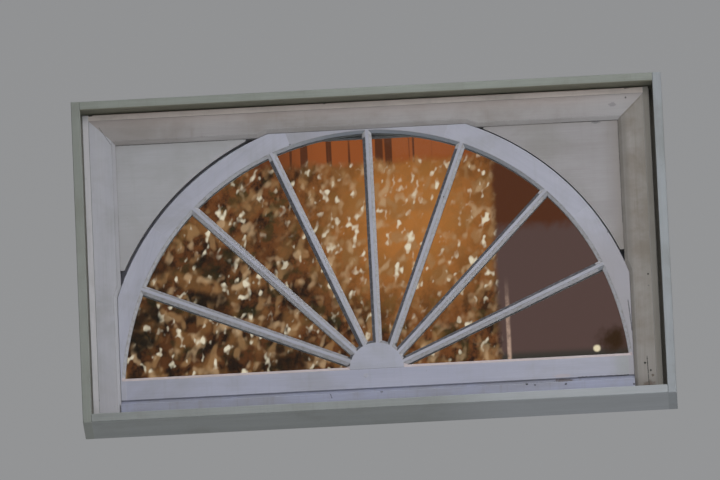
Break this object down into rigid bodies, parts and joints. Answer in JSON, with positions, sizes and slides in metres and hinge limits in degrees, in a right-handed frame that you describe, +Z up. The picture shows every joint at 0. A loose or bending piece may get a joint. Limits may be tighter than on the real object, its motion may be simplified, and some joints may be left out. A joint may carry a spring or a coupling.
{
  "type": "half-round window",
  "caption": "Half-round sunburst window: fixed puttied sash with radiating glazing bars in a painted timber frame with corner panels and an outer board lining.",
  "frame": {"origin": "middle of the underside of the outer lining, halfway through its depth", "axes": "+Z up, -Y towards outdoors, +X to the right as seen from outdoors"},
  "size_m": [1.27, 0.12, 0.7225],
  "materials": {
    "frame_paint": "weathered satin paint on softwood",
    "sash_paint": "weathered satin paint on softwood",
    "lining_paint": "weathered matt paint on softwood",
    "glass": "old clear sheet glass",
    "putty": "painted linseed putty",
    "bare_wood": "bare softwood",
    "seal": "dark foam strip",
    "steel": "dull zinc plated"
  },
  "bodies": {
    "root": {"head_jamb": "frame_paint", "left_jamb": "frame_paint", "right_jamb": "frame_paint", "sill": "frame_paint", "casing_head": "frame_paint", "casing_left": "frame_paint", "casing_right": "frame_paint", "spandrel_left": "frame_paint", "spandrel_right": "frame_paint", "arch_segment_1": "sash_paint", "arch_segment_2": "sash_paint", "arch_segment_3": "sash_paint", "arch_segment_4": "sash_paint", "arch_segment_5": "sash_paint", "bottom_rail": "sash_paint", "hub": "sash_paint", "muntin_1": "sash_paint", "muntin_2": "sash_paint", "muntin_3": "sash_paint", "muntin_4": "sash_paint", "muntin_5": "sash_paint", "muntin_6": "sash_paint", "muntin_7": "sash_paint", "lining_head": "lining_paint", "lining_left": "lining_paint", "lining_right": "lining_paint", "lining_bottom": "lining_paint", "stop_head": "frame_paint", "stop_left": "frame_paint", "stop_right": "frame_paint", "stop_bottom": "frame_paint", "stop_corner_left": "frame_paint", "stop_corner_right": "frame_paint", "pane_1": "glass", "pane_2": "glass", "pane_3": "glass", "pane_4": "glass", "pane_5": "glass", "pane_6": "glass", "pane_7": "glass", "pane_8": "glass", "putty_1": "putty", "putty_2": "putty", "putty_3": "putty", "putty_4": "putty", "putty_5": "putty", "putty_6": "putty", "putty_7": "putty", "putty_8": "putty", "packers": "bare_wood", "mitre_keys": "bare_wood", "hub_dowels": "bare_wood", "rail_plug": "sash_paint", "gap_seals": "seal", "frame_screws": "steel", "corner_screws": "steel", "stop_screws": "steel", "glazing_points": "steel", "foot_nails": "steel"}
  },
  "joints": []
}
